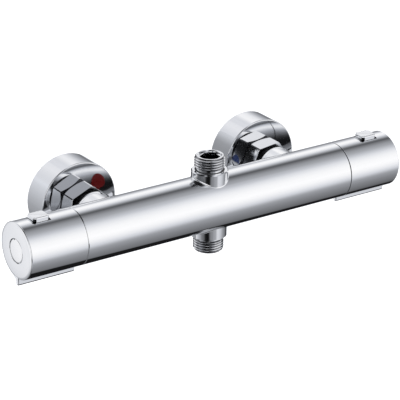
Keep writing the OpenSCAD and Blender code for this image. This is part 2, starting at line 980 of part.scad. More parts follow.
// Temperature side: sleeve with hot and cold windows, shuttle, wax element and regulating nut.
// Heights here are distances from the middle of the bar, so that the ports line up with the inlet.

module on_axis() {
    on_bar() along_x() children();
}

sleeve_r = seat_r - 0.2;
bore_r = sleeve_bore / 2;
head_inset = 11;
sleeve_end = end_x - head_inset;
hot_step = thermo_floor + 6;
cold_shoulder = hot_step + shuttle_l + shuttle_room;
window_h = 3.6;
hot_body_r = bore_r + 1.5;
cold_body_r = bore_r + 2.3;
hot_room = 10;
seal_land = 4.5;
hot_land = thermo_floor + hot_room;
cold_from = hot_land + seal_land;
cold_to = inlet_x + port_r + 2;
seal_minor = 0.95;
seal_major = seat_r - seal_minor - slack;
mid_seal_at = (hot_land + cold_from) / 2;
nose_wall = 1.8;
nose_seal_minor = 0.55;
nose_seal_major = nose_r + slack - nose_seal_minor;
nose_seal_at = thermo_floor - nose_l / 2;
key_r = bore_r + 1.4;
key_w = 3;
cold_gap = 0.5;
shuttle_at = cold_shoulder - cold_gap - shuttle_l;

module windows(from) {
    count = 4;
    width = 8;
    for (i = [1 : count])
        rotate([0, 0, 45 + i * 360 / count])
            translate([bore_r - 1, -width / 2, from]) cube([6, width, window_h]);
}

module thermostat_sleeve() color([0.88, 0.87, 0.84]) {
    on_axis()
        difference() {
            union() {
                rod(nose_r, thermo_floor - nose_l, thermo_floor + 2);
                rod(hot_body_r, thermo_floor + 2, hot_land);
                rod(sleeve_r, hot_land, cold_from);
                rod(cold_body_r, cold_from, cold_to);
                rod(sleeve_r, cold_to, sleeve_end);
            }
            rod(nose_r - nose_wall, thermo_floor - nose_l - over, hot_step);
            rod(bore_r - 1.5, hot_step - 2, sleeve_end);
            rod(bore_r, hot_step, sleeve_end + over);
            windows(hot_step);
            windows(cold_shoulder - window_h);
            tube(nose_r + over, nose_seal_major - nose_seal_minor,
                nose_seal_at - nose_seal_minor, nose_seal_at + nose_seal_minor);
            tube(sleeve_r + over, seal_major - seal_minor,
                mid_seal_at - seal_minor, mid_seal_at + seal_minor);
            translate([-key_r - fit, -key_w / 2 - fit, cold_to + 0.5])
                cube([2 * key_r + 2 * fit, key_w + 2 * fit, sleeve_end - cold_to]);
        }
}

module thermostat_seals() color([0.1, 0.1, 0.1]) {
    on_axis() {
        ring_seal(nose_seal_major, nose_seal_minor, nose_seal_at);
        ring_seal(seal_major, seal_minor, mid_seal_at);
    }
}

seat_ring_t = 3;

module cold_seat_ring() color([0.78, 0.68, 0.4]) {
    on_axis() tube(bore_r - slack, bore_r - 4, cold_shoulder, cold_shoulder + seat_ring_t);
}

shuttle_r = bore_r - fit;
web_at = shuttle_at + 5;
web_t = 3;
shuttle_seal_minor = 0.5;
shuttle_seal_major = shuttle_r - shuttle_seal_minor;
shuttle_seal_at = web_at + web_t + 1.5;

module shuttle() color([0.7, 0.66, 0.5]) {
    wall = 1.3;
    spokes = 4;
    spoke_w = 2.4;
    hub = bulb_d / 2 + 3.2;
    on_axis() {
        difference() {
            tube(shuttle_r, shuttle_r - wall, shuttle_at, shuttle_at + shuttle_l);
            tube(shuttle_r + over, shuttle_seal_major - shuttle_seal_minor,
                shuttle_seal_at - shuttle_seal_minor, shuttle_seal_at + shuttle_seal_minor);
        }
        difference() {
            union() {
                rod(hub, web_at, web_at + web_t);
                for (i = [1 : spokes])
                    rotate([0, 0, i * 360 / spokes])
                        translate([0, -spoke_w / 2, web_at])
                            cube([shuttle_r - wall / 2, spoke_w, web_t]);
            }
            rod(bulb_d / 2 + slack, web_at - over, web_at + web_t + over);
        }
    }
}

module shuttle_seal() color([0.1, 0.1, 0.1]) {
    on_axis() ring_seal(shuttle_seal_major, shuttle_seal_minor, shuttle_seal_at);
}

// The bulb sits in the mixed water, the collar on the shuttle's web, the guide round the piston
collar_at = web_at + web_t;
collar_t = 1.5;
guide_l = 9;
guide_end = collar_at + guide_l;
piston_in = collar_at + 1.5;

module wax_element() color([0.72, 0.45, 0.2]) {
    guide_r = 3;
    bulb_round = 1;
    on_axis()
        difference() {
            union() {
                translate([0, 0, thermo_floor - 2 - bulb_round])
                    cylinder(r1 = bulb_d / 2 - bulb_round, r2 = bulb_d / 2, h = bulb_round);
                rod(bulb_d / 2, thermo_floor - 2, collar_at);
                rod(bulb_d / 2 + 1.4, collar_at, collar_at + collar_t);
                rod(guide_r, collar_at, guide_end);
            }
            rod(piston_d / 2 + fit, collar_at - 2.5, guide_end + over);
        }
}

// Regulating nut: held by two keys, moved by the spindle's thread, with the overload spring inside
nut_travel_in = 1.3;
nut_gap = 2.9;
nut_in = guide_end + nut_gap;
nut_floor_t = 2;
stem_collar_at = 8.8;
nut_out = end_x - stem_collar_at - 2.4;
thread_r = 6;
nut_r = bore_r - 1.6;
cup_t = 1.5;
cup_room = 7.2;
ring_at = nut_in + nut_floor_t + cup_room;
ring_t = 1;

module piston() color([0.7, 0.7, 0.72]) {
    on_axis() rod(piston_d / 2, piston_in, nut_in + nut_floor_t);
}

module regulating_nut() color([0.78, 0.68, 0.4]) {
    key_from = cold_to + 0.5 + nut_travel_in;
    key_l = sleeve_end - 1.9 - key_from;
    on_axis()
        difference() {
            union() {
                rod(nut_r, nut_in, nut_out);
                intersection() {
                    rod(key_r, key_from, key_from + key_l);
                    translate([-key_r, -key_w / 2, key_from]) cube([2 * key_r, key_w, key_l]);
                }
            }
            rod(piston_d / 2 + fit, nut_in - over, nut_out);
            rod(thread_r + fit, nut_in + nut_floor_t, nut_out + over);
        }
}

module overload_cup() color([0.6, 0.6, 0.62]) {
    on_axis() {
        rod(thread_r - fit, nut_in + nut_floor_t, nut_in + nut_floor_t + cup_t);
        rod(2.4, nut_in + nut_floor_t, nut_in + nut_floor_t + 2 * cup_t);
    }
}

module overload_spring() color([0.6, 0.6, 0.62]) {
    on_axis() coil(4.2, 0.55, 3, nut_in + nut_floor_t + cup_t, ring_at);
}

module overload_ring() color([0.6, 0.6, 0.62]) {
    on_axis() tube(thread_r, 3.6, ring_at, ring_at + ring_t);
}

module return_spring() color([0.6, 0.6, 0.62]) {
    on_axis() coil(7, 0.55, 3, hot_step - 2, web_at);
}

module temp_spindle() color([0.78, 0.7, 0.45]) {
    thread_in = ring_at + ring_t + 0.8 - end_x;
    collar_in = -stem_collar_at;
    collar_end = 1.2 - stem_collar_at;
    right_end() {
        rod(thread_r, thread_in, collar_in + over);
        rod(thread_r + 1.5, collar_in, collar_end);
        rod(spindle_r, collar_end - over, 0);
        spindle_top();
    }
}

module temp_spindle_seal() color([0.1, 0.1, 0.1]) {
    right_end() ring_seal(stem_seal_major, stem_seal_minor, stem_seal_at);
}

module temp_headpart() color([0.78, 0.68, 0.4]) {
    right_end()
        difference() {
            headpart(sleeve_end - end_x);
            rod(bore_r - 0.6, sleeve_end - end_x - over, 1.3 - stem_collar_at);
        }
}

module temp_headpart_seal() color([0.1, 0.1, 0.1]) {
    right_end() ring_seal(head_seal_major, head_seal_minor, head_seal_at);
}

body();
hot_marker();
cold_marker();
top_nipple();
bottom_nipple();
nipple_gaskets();
hot_tailpiece();
cold_tailpiece();
hot_union_nut();
cold_union_nut();
inlet_washers();
inlet_strainers();
hot_check_cage();
cold_check_cage();
hot_check_poppet();
cold_check_poppet();
hot_check_spring();
cold_check_spring();
check_cage_seals();
hot_wall_union();
cold_wall_union();
hot_wall_cover();
cold_wall_cover();
flow_knob();
flow_cap();
flow_screw();
flow_button();
flow_button_spring();
flow_stop_ring();
flow_headpart();
flow_headpart_seal();
flow_spindle();
flow_spindle_seal();
flow_moving_disc();
flow_fixed_disc();
flow_base_seal();
temp_knob();
temp_cap();
temp_screw();
temp_button();
temp_button_spring();
temp_stop_ring();
temp_headpart();
temp_headpart_seal();
temp_spindle();
temp_spindle_seal();
thermostat_sleeve();
thermostat_seals();
cold_seat_ring();
shuttle();
shuttle_seal();
wax_element();
piston();
regulating_nut();
overload_cup();
overload_spring();
overload_ring();
return_spring();
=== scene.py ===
import bpy
import bmesh
import json
import math
from mathutils import Matrix, Vector


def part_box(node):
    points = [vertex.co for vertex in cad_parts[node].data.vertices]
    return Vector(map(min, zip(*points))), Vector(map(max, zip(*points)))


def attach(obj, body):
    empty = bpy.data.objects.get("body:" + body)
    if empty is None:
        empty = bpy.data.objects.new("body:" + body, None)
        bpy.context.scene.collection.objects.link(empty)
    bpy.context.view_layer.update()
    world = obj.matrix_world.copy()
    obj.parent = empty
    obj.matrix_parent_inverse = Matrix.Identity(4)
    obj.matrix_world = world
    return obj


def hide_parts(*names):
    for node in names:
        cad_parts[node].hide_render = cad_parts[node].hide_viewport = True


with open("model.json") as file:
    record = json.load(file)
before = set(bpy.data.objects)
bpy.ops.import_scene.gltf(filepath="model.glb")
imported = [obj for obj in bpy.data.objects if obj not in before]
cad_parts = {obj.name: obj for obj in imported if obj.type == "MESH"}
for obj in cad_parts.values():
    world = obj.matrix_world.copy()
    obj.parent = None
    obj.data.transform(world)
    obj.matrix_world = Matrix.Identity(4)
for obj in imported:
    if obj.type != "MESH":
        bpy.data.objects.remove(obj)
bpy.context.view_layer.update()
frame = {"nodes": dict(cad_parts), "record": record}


# Places and sizes from the CAD, in millimetres

MM = 0.001


def corners(node):
    """Lowest and highest corner of a CAD node, to a twentieth of a millimetre."""
    return [[round(20 * value / MM) / 20 for value in corner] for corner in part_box(node)]


MOUNTS = {mount["name"]: mount for mount in frame["record"]["mounts"]}
BODY_OF = {node: body for body, nodes in frame["record"]["behaviour"]["bodies"].items() for node in nodes}

knob_low, knob_high = corners("temp_knob")
nut_low, nut_high = corners("cold_union_nut")
cover_low, cover_high = corners("cold_wall_cover")
nipple_low, nipple_high = corners("top_nipple")

END_X = corners("body")[1][0]
KNOB_OUT = knob_high[0] - END_X
BAR_Y = (knob_low[1] + knob_high[1]) / 2
BAR_R = knob_high[2]
FIN_TIP = -knob_low[2]
INLET_X = round(MOUNTS["cold_cover_rim"]["pos_m"][0] / MM, 3)
NUT_BACK, NUT_FRONT = -nut_high[1], -nut_low[1]
COVER_R, COVER_DEPTH = cover_high[2], -cover_low[1]
NIPPLE_FOOT, NIPPLE_TOP = nipple_low[2], nipple_high[2]
OUTLET_R = MOUNTS["top_outlet"]["dims"]["r_mm"]


# Shader helpers

def add(tree, kind, inputs=None, **settings):
    """A new node: its settings first, then its inputs, as plain values or as other nodes' outputs."""
    node = tree.nodes.new(kind)
    for name, value in settings.items():
        setattr(node, name, value)
    for name, value in (inputs or {}).items():
        if isinstance(value, bpy.types.NodeSocket):
            tree.links.new(value, node.inputs[name])
        else:
            node.inputs[name].default_value = value
    return node


def maths(tree, operation, *values):
    return add(tree, "ShaderNodeMath", dict(enumerate(values)), operation=operation).outputs[0]


def soft_step(tree, value, low, high):
    """0 up to low, 1 from high on and smooth between; low may be the larger of the two."""
    step = add(tree, "ShaderNodeMapRange", {"Value": value, "From Min": low, "From Max": high},
               interpolation_type="SMOOTHSTEP")
    return step.outputs["Result"]


def mixed_colour(tree, factor, first, second):
    """The first colour where the factor is 0, the second where it is 1."""
    mix = add(tree, "ShaderNodeMix", {"Factor": factor, "A": first, "B": second}, data_type="RGBA")
    return mix.outputs["Result"]


def mixed_shader(tree, factor, first, second):
    """The first shader where the factor is 0, the second where it is 1."""
    return add(tree, "ShaderNodeMixShader", {"Fac": factor, 1: first, 2: second}).outputs[0]


def graded(tree, place, stops):
    """A ramp of colours; each stop is its place from 0 to 1 and its colour."""
    ramp = add(tree, "ShaderNodeValToRGB", {"Fac": place})
    elements = ramp.color_ramp.elements
    for i, (at, colour) in enumerate(stops):
        element = elements[i] if i < 2 else elements.new(at)
        element.position = at
        element.color = colour
    return ramp.outputs["Color"]


def raised(tree, height, strength, distance):
    """Surface normals from a height."""
    bump = add(tree, "ShaderNodeBump", {"Height": height, "Strength": strength, "Distance": distance})
    return bump.outputs["Normal"]


def new_material(name, colour, metallic, roughness):
    """A material with plain values on its main shader, and its object coordinates."""
    mat = bpy.data.materials.new(name)
    mat.use_nodes = True
    principled = mat.node_tree.nodes["Principled BSDF"]
    principled.inputs["Base Color"].default_value = (*colour, 1)
    principled.inputs["Metallic"].default_value = metallic
    principled.inputs["Roughness"].default_value = roughness
    coords = add(mat.node_tree, "ShaderNodeTexCoord").outputs["Object"]
    return mat, mat.node_tree, principled, coords


def feed_main(tree, principled, colour, roughness, normal):
    """Link colour, roughness and normals to the main shader."""
    for label, value in (("Base Color", colour), ("Roughness", roughness), ("Normal", normal)):
        tree.links.new(value, principled.inputs[label])


def bare_material(name):
    """A material for the studio, with nothing in it but its output."""
    mat = bpy.data.materials.new(name)
    mat.use_nodes = True
    mat.node_tree.nodes.clear()
    return mat, mat.node_tree, add(mat.node_tree, "ShaderNodeOutputMaterial")


def group_shell(name, floats, outputs):
    """An empty node group with a vector and named numbers coming in, and named numbers going out."""
    group = bpy.data.node_groups.new(name, "ShaderNodeTree")
    group.interface.new_socket("Vector", in_out="INPUT", socket_type="NodeSocketVector")
    for label, value in floats:
        socket = group.interface.new_socket(label, in_out="INPUT", socket_type="NodeSocketFloat")
        socket.default_value = value
    for label in outputs:
        group.interface.new_socket(label, in_out="OUTPUT", socket_type="NodeSocketFloat")
    return group, add(group, "NodeGroupInput").outputs, add(group, "NodeGroupOutput").inputs


def handled_metal_group():
    """Roughness that drifts over a polished metal skin, with faint wiping marks and a slow wave."""
    group, given, result = group_shell(
        "handled_metal",
        [("Base Roughness", 0.05), ("Drift", 0.03), ("Wipe Scale", 420.0), ("Cloud Scale", 38.0)],
        ["Roughness", "Height", "Tint"])
    cloud = add(group, "ShaderNodeTexNoise", {
        "Vector": given["Vector"], "Scale": given["Cloud Scale"], "Detail": 3.0}).outputs["Fac"]
    stretched = add(group, "ShaderNodeMapping", {"Vector": given["Vector"], "Scale": (0.12, 1.0, 1.0)})
    wipe = add(group, "ShaderNodeTexNoise", {
        "Vector": stretched.outputs["Vector"], "Scale": given["Wipe Scale"], "Detail": 2.0}).outputs["Fac"]
    mixed = maths(group, "MULTIPLY", cloud, wipe)
    drift = maths(group, "MULTIPLY_ADD", mixed, given["Drift"], given["Base Roughness"])
    for label, value in (("Roughness", drift), ("Height", cloud), ("Tint", mixed)):
        group.links.new(value, result[label])
    return group


HANDLED_METAL = handled_metal_group()


def metal(name, colour, deeper, roughness, drift, wipe=420.0):
    """Handled metal: a tint and a roughness that drift together, over a faint wave."""
    wave_strength, wave_height = 0.02, 0.02 * MM
    mat, tree, principled, coords = new_material(name, colour, 1.0, roughness)
    handled = add(tree, "ShaderNodeGroup", {
        "Vector": coords, "Base Roughness": roughness, "Drift": drift, "Wipe Scale": wipe,
    }, node_tree=HANDLED_METAL).outputs
    tint = mixed_colour(tree, handled["Tint"], (*colour, 1), (*deeper, 1))
    wave = raised(tree, handled["Height"], wave_strength, wave_height)
    feed_main(tree, principled, tint, handled["Roughness"], wave)
    return mat


def moulded(name, colour, deeper, roughness, strength=0.15):
    """Plastic, rubber or ceramic: a fine moulded grain and a slight change of colour."""
    grain, cloud, grain_height = 900.0, 75.0, 0.04 * MM
    smoother, rougher = 0.85, 1.2
    mat, tree, principled, coords = new_material(name, colour, 0.0, roughness)
    fine = add(tree, "ShaderNodeTexNoise", {"Vector": coords, "Scale": grain, "Detail": 4.0}).outputs["Fac"]
    slow = add(tree, "ShaderNodeTexNoise", {"Vector": coords, "Scale": cloud}).outputs["Fac"]
    tint = mixed_colour(tree, slow, (*colour, 1), (*deeper, 1))
    spread = add(tree, "ShaderNodeMapRange", {
        "Value": fine, "To Min": roughness * smoother, "To Max": roughness * rougher}).outputs["Result"]
    feed_main(tree, principled, tint, spread, raised(tree, fine, strength, grain_height))
    return mat


def threaded(name, colour, root_shade_colour):
    """Chromed thread with painted shade: the colour darkens from the bright crests down into the roots."""
    shade_depth, bright_depth = 0.85, 0.15
    mat = metal(name, colour, colour, 0.07, 0.05)
    tree = mat.node_tree
    coords = add(tree, "ShaderNodeTexCoord").outputs["Object"]
    from_axis = add(tree, "ShaderNodeMapping", {
        "Vector": coords, "Location": (0, -BAR_Y * MM, 0), "Scale": (1, 1, 0)}).outputs["Vector"]
    reach = add(tree, "ShaderNodeVectorMath", {0: from_axis}, operation="LENGTH").outputs["Value"]
    # Painted shade: dark in the roots and up the flanks, with the chrome colour only near the crests
    crest = soft_step(tree, reach, (OUTLET_R - shade_depth) * MM, (OUTLET_R - bright_depth) * MM)
    layer = mixed_colour(tree, crest, (*root_shade_colour, 1), (*colour, 1))
    tree.links.new(layer, tree.nodes["Principled BSDF"].inputs["Base Color"])
    return mat


# Materials, and the finish of every CAD node

CHROME = metal("polished_chrome", (0.87, 0.88, 0.89), (0.84, 0.85, 0.87), 0.045, 0.035)
CAP_CHROME = metal("cap_chrome", (0.96, 0.96, 0.96), (0.94, 0.94, 0.945), 0.08, 0.05)
COVER_CHROME = metal("cover_chrome", (0.82, 0.83, 0.85), (0.78, 0.79, 0.81), 0.04, 0.03)
# Thread chrome, with painted shade in the thread roots
THREAD_CHROME = threaded("thread_chrome", (0.86, 0.87, 0.88), (0.34, 0.34, 0.35))
# Painted shade: a near-black dull metal laid where shade falls, on the tailpiece necks and on faces that look
# at the wall
PAINTED_SHADE_METAL = metal("dull_neck_metal", (0.10, 0.10, 0.105), (0.07, 0.07, 0.075), 0.38, 0.2)
BRASS = metal("machined_brass", (0.72, 0.53, 0.26), (0.62, 0.44, 0.20), 0.22, 0.16, wipe=900.0)
STEEL = metal("drawn_steel", (0.62, 0.62, 0.63), (0.52, 0.52, 0.53), 0.26, 0.12)
COPPER = metal("drawn_copper", (0.72, 0.42, 0.28), (0.62, 0.34, 0.22), 0.24, 0.14)
RED = moulded("red_marker", (0.23, 0.002, 0.002), (0.17, 0.002, 0.002), 0.30, strength=0.05)
BLUE = moulded("blue_marker", (0.02, 0.055, 0.21), (0.015, 0.04, 0.16), 0.30, strength=0.05)
RUBBER = moulded("black_rubber", (0.035, 0.035, 0.037), (0.055, 0.055, 0.057), 0.62)
WHITE_PLASTIC = moulded("white_plastic", (0.80, 0.80, 0.78), (0.74, 0.74, 0.71), 0.38)
BLUE_PLASTIC = moulded("poppet_plastic", (0.16, 0.30, 0.55), (0.12, 0.24, 0.47), 0.36)
DARK_PLASTIC = moulded("stop_plastic", (0.20, 0.20, 0.22), (0.15, 0.15, 0.17), 0.42)
CERAMIC = moulded("lapped_ceramic", (0.88, 0.86, 0.79), (0.83, 0.80, 0.72), 0.16, strength=0.03)

FINISH = {
    "chrome": CHROME, "chrome_cap": CAP_CHROME, "red_mark": RED, "blue_mark": BLUE, "brass": BRASS,
    "seal": RUBBER, "steel": STEEL, "cage_plastic": WHITE_PLASTIC, "poppet_plastic": BLUE_PLASTIC,
    "stop_plastic": DARK_PLASTIC, "ceramic": CERAMIC, "sleeve_plastic": WHITE_PLASTIC, "copper": COPPER,
}


def painted(piece, *materials):
    """Give a piece these materials and no others."""
    piece.data.materials.clear()
    for material in materials:
        piece.data.materials.append(material)


for part in frame["record"]["subparts"]:
    # The tailpiece necks sit in the shaded recess behind the nuts, so they get the painted shade metal in
    # place of their own finish
    is_neck = part["node"].endswith("tailpiece")
    painted(frame["nodes"][part["node"]], PAINTED_SHADE_METAL if is_neck else FINISH[part["material_slot"]])


# Shaping tools (sizes in millimetres, turns in degrees)

def shift(x, y, z):
    return Matrix.Translation((x * MM, y * MM, z * MM))


def turn(degrees, axis):
    return Matrix.Rotation(math.radians(degrees), 4, axis)


MIRROR_X = Matrix.Diagonal((-1, 1, 1, 1))
ON_BAR = shift(0, BAR_Y, 0)
UPSIDE_DOWN = turn(180, "X")
UP_TO_WALL = Matrix(((1, 0, 0, 0), (0, 0, 1, 0), (0, -1, 0, 0), (0, 0, 0, 1)))
COS_30 = math.cos(math.pi / 6)
CLOSE = 0.002 * MM


def deselect():
    bpy.ops.object.select_all(action="DESELECT")


def pick(piece):
    """Make a piece the active one and the only one selected."""
    deselect()
    piece.select_set(True)
    bpy.context.view_layer.objects.active = piece


def rename(piece, name):
    piece.name = piece.data.name = name
    return piece


def to_edit(piece):
    """Enter edit mode with the whole mesh selected."""
    pick(piece)
    bpy.ops.object.mode_set(mode="EDIT")
    bpy.ops.mesh.select_all(action="SELECT")


def to_object():
    bpy.ops.object.mode_set(mode="OBJECT")


def arc(centre, radius, start, end, steps):
    """Corner points of a rounding, from one angle to the other."""
    angles = [math.radians(start + (end - start) * i / steps) for i in range(steps + 1)]
    return [(centre[0] + radius * math.cos(a), centre[1] + radius * math.sin(a)) for a in angles]


def trace(name, points):
    """Draw an outline from one vertex, extruded from corner to corner; it stays in edit mode."""
    deselect()
    bpy.ops.mesh.primitive_plane_add(size=0.01, location=(0, 0, 0))
    piece = rename(bpy.context.object, name)
    to_edit(piece)
    bpy.ops.mesh.merge(type="CENTER")
    points = [Vector(p) * MM for p in points]
    bpy.ops.transform.translate(value=points[0])
    for last, point in zip(points, points[1:]):
        bpy.ops.mesh.extrude_vertices_move(TRANSFORM_OT_translate={"value": point - last})
    bpy.ops.mesh.select_all(action="SELECT")
    return piece


def tidy_skin(piece, smooth=30):
    """Merge doubles, turn the faces outwards and shade smooth up to an angle."""
    to_edit(piece)
    bpy.ops.mesh.remove_doubles(threshold=CLOSE)
    bpy.ops.mesh.normals_make_consistent(inside=False)
    to_object()
    bpy.ops.object.shade_smooth_by_angle(angle=math.radians(smooth))


def applied(piece, kind, **settings):
    """Give a piece a modifier and apply it."""
    pick(piece)
    modifier = piece.modifiers.new(kind.lower(), kind)
    for name, value in settings.items():
        setattr(modifier, name, value)
    bpy.ops.object.modifier_apply(modifier=modifier.name)


def turned(name, outline, place, axis, steps):
    """Lathe work: an outline of (radius, height) spun round an axis; place turns it into x, y, z."""
    piece = trace(name, [place(r, h) for r, h in outline])
    bpy.ops.mesh.spin(steps=steps, angle=2 * math.pi, center=Vector(place(0, 0)) * MM, axis=axis)
    to_object()
    tidy_skin(piece)
    return piece


def turned_on_wall(name, x, outline, steps):
    """Lathe work about an inlet, with heights measured out from the wall."""
    return turned(name, outline, lambda r, h: (x + r, -h, 0), (0, 1, 0), steps)


def block(name, low, high):
    """A block between two corners, ready for bevels."""
    deselect()
    centre = [(a + b) / 2 * MM for a, b in zip(low, high)]
    bpy.ops.mesh.primitive_cube_add(size=1, location=centre)
    piece = rename(bpy.context.object, name)
    piece.scale = [(b - a) * MM for a, b in zip(low, high)]
    bpy.ops.object.transform_apply(location=True, rotation=True, scale=True)
    return piece


def hexagon(half_flats, depth):
    """A hexagonal bar about the origin, on end."""
    deselect()
    bpy.ops.mesh.primitive_cylinder_add(vertices=6, radius=half_flats / COS_30 * MM, depth=depth * MM,
                                        location=(0, 0, 0))
    return rename(bpy.context.object, "hexagon")


def bevel_edges(piece, wanted, width, segments):
    """Bevel the edges that a test picks by their two ends."""
    to_edit(piece)
    bpy.ops.mesh.select_mode(type="EDGE")
    bpy.ops.mesh.select_all(action="DESELECT")
    mesh = bmesh.from_edit_mesh(piece.data)
    for edge in mesh.edges:
        a, b = (v.co / MM for v in edge.verts)
        if wanted(a, b):
            edge.select = True
    bmesh.update_edit_mesh(piece.data)
    bpy.ops.mesh.bevel(offset=width * MM, segments=segments, profile=0.5, affect="EDGES")
    bpy.ops.mesh.select_mode(type="VERT")
    to_object()


def cut(piece, tool, kind="DIFFERENCE"):
    """Take a tool's shape out of a piece, or keep only what lies inside it."""
    applied(piece, "BOOLEAN", operation=kind, solver="EXACT", object=tool)
    bpy.data.objects.remove(tool, do_unlink=True)


def join(piece, *others):
    pick(piece)
    for other in others:
        other.select_set(True)
    bpy.ops.object.join()
    return piece


def copied(piece, name, placing):
    """A copy with its own mesh, placed by a matrix; a mirrored one has its faces turned out again."""
    twin = piece.copy()
    twin.data = piece.data.copy()
    rename(twin, name)
    bpy.context.scene.collection.objects.link(twin)
    twin.data.transform(placing)
    if placing.determinant() < 0:
        tidy_skin(twin)
    return twin


def fitted(piece, body, slot, *nodes):
    """Finish a piece: true flats, the body it moves with, and the nodes that it stands for, which it hides.

    The large faces set the shading, so that flats mirror as flats beside their softened edges. The slot is
    not used.
    """
    applied(piece, "WEIGHTED_NORMAL", mode="FACE_AREA", weight=100, keep_sharp=True)
    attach(piece, body)
    if nodes:
        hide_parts(*nodes)


# Knobs, caps and buttons, made at the right end and mirrored to the left

BUTTON_AT = 26.2


def off_right_end(r, h):
    """A lathe outline's place: h out from the end of the bar, r from its axis."""
    return (END_X + h, BAR_Y + r, 0)


def knob_barrel():
    """Barrel with a soft rim on its end face, a recess for the cap, a hub and a slot for the button."""
    seam, edge, inner, face_back = 0.38, 0.2, BAR_R - 2.2, 40
    rim_r, flat_r, face_fall = 0.8, 17.3, 12
    recess_r, recess_floor = 8.45, 41.1
    head_r, head_seat, screw_r = 5.2, 23.4, 2.1
    spindle_r, spindle_end, hub_r, hub_start = 4.45, 20.5, 9, 10
    slot_length, slot_width, slot_low, slot_high = 6.38 * 2, 5.6 * 2, 14, 24
    corner = arc((BAR_R - rim_r, 0), rim_r, 0, 90 - face_fall, 8)
    fall = (corner[-1][0] - flat_r) * math.tan(math.radians(face_fall))
    rim = [(r, h + KNOB_OUT - fall - corner[-1][1]) for r, h in corner]
    skirt = [(inner, seam), (BAR_R - edge, seam), (BAR_R - edge / 4, seam + edge / 4), (BAR_R, seam + edge)]
    lip = arc((recess_r + edge, KNOB_OUT - edge), edge, 90, 180, 3)[1:]
    hub = [(head_r, recess_floor), (head_r, head_seat), (screw_r, head_seat), (screw_r, spindle_end),
           (spindle_r, spindle_end), (spindle_r, hub_start), (hub_r, hub_start), (hub_r, face_back)]
    outline = (skirt + rim + [(flat_r, KNOB_OUT), (recess_r + edge, KNOB_OUT)] + lip
               + [(recess_r, recess_floor)] + hub + [(inner, face_back), (inner, seam)])
    barrel = turned("barrel", outline, off_right_end, (1, 0, 0), steps=192)
    slot_x = END_X + BUTTON_AT
    cut(barrel, block("slot", (slot_x - slot_length / 2, BAR_Y - slot_width / 2, slot_low),
                      (slot_x + slot_length / 2, BAR_Y + slot_width / 2, slot_high)))
    return barrel


def knob_fin():
    """Lever fin under the barrel: a flat front, a hollow foot at the back and softened edges."""
    start, root, heel = 0.6, BAR_R - 1.1, 3.0
    front, back, tip_r, hollow_r, hollow_end = -2.4, 0.6, 0.45, 2.5, 188.1
    chamfer_down, chamfer_back, front_edge, end_edge = 1.0, 0.7, 0.5, 0.2
    clear_of_bar, near_front = BAR_R + 0.3, BAR_Y - 1.6
    hollow_y = back + hollow_r
    hollow_down = math.sqrt((BAR_R + hollow_r) ** 2 - hollow_y ** 2)
    outline = ([(root, front), (FIN_TIP - chamfer_down, front), (FIN_TIP, front + chamfer_back)]
               + arc((FIN_TIP - tip_r, back - tip_r), tip_r, 0, 90, 3)
               + arc((hollow_down, hollow_y), hollow_r, 270, hollow_end, 7) + [(root, heel)])
    fin = trace("fin", [(END_X + start, BAR_Y + y, -down) for down, y in outline])
    bpy.ops.mesh.edge_face_add()
    bpy.ops.mesh.extrude_region_move(TRANSFORM_OT_translate={"value": ((KNOB_OUT - start) * MM, 0, 0)})
    to_object()
    tidy_skin(fin, 35)
    ends = (END_X + start, END_X + KNOB_OUT)

    def at_an_end(a, b):
        return any(abs(a.x - end) < 0.01 and abs(b.x - end) < 0.01 for end in ends)

    bevel_edges(fin, lambda a, b: (at_an_end(a, b) and max(a.y, b.y) < near_front
                                   and max(-a.z, -b.z) > clear_of_bar), front_edge, 1)
    bevel_edges(fin, lambda a, b: at_an_end(a, b) and min(-a.z, -b.z) > clear_of_bar, end_edge, 2)
    tidy_skin(fin, 35)
    return fin


def knob_cap():
    """Cap over the screw: a faintly crowned face, a soft rim and a pry notch."""
    cap_r, seat, face, crown_r, edge = 8.07, 41.15, KNOB_OUT - 0.02, 240, 0.5
    notch_width, notch_low, notch_high, notch_depth, notch_at = 1.6, 7.4, 9, 0.75, -16
    rim_top = face - (cap_r - edge) ** 2 / (2 * crown_r)
    rim = arc((cap_r - edge, rim_top - edge), edge, 0, 86, 6)
    crown = [(r, face - r * r / (2 * crown_r)) for r in (7.0, 5.5, 4.0, 2.5, 1.2, 0)]
    cap = turned("cap", [(0, seat), (cap_r, seat)] + rim + crown, off_right_end, (1, 0, 0), steps=96)
    notch = block("notch", (END_X + KNOB_OUT - notch_depth, BAR_Y - notch_width / 2, notch_low),
                  (END_X + KNOB_OUT + 1, BAR_Y + notch_width / 2, notch_high))
    notch.data.transform(ON_BAR @ turn(notch_at, "X") @ shift(0, -BAR_Y, 0))
    cut(cap, notch)
    tidy_skin(cap)
    return cap


def knob_button():
    """Safety button: bevelled top and corners, with its retaining foot inside the barrel."""
    length, width, low, high = 12, 10.4, 14.6, BAR_R + 2.4
    corner, corner_edge, top_edge = 1.7, 0.16, 0.85
    foot_out, foot_low, foot_high, foot_edge = 1.4, 14.2, 15.4, 0.2

    def slab(name, out, bottom, top):
        mid = END_X + BUTTON_AT
        return block(name, (mid - length / 2 - out, BAR_Y - width / 2 - out, bottom),
                     (mid + length / 2 + out, BAR_Y + width / 2 + out, top))

    button = slab("button", 0, low, high)
    bevel_edges(button, lambda a, b: abs(a.z - b.z) > 1, corner, 1)
    bevel_edges(button, lambda a, b: abs(a.z - b.z) > 1, corner_edge, 2)
    bevel_edges(button, lambda a, b: min(a.z, b.z) > high - 0.4, top_edge, 5)
    foot = slab("foot", foot_out, foot_low, foot_high)
    bevel_edges(foot, lambda a, b: True, foot_edge, 2)
    join(button, foot)
    tidy_skin(button, 35)
    return button


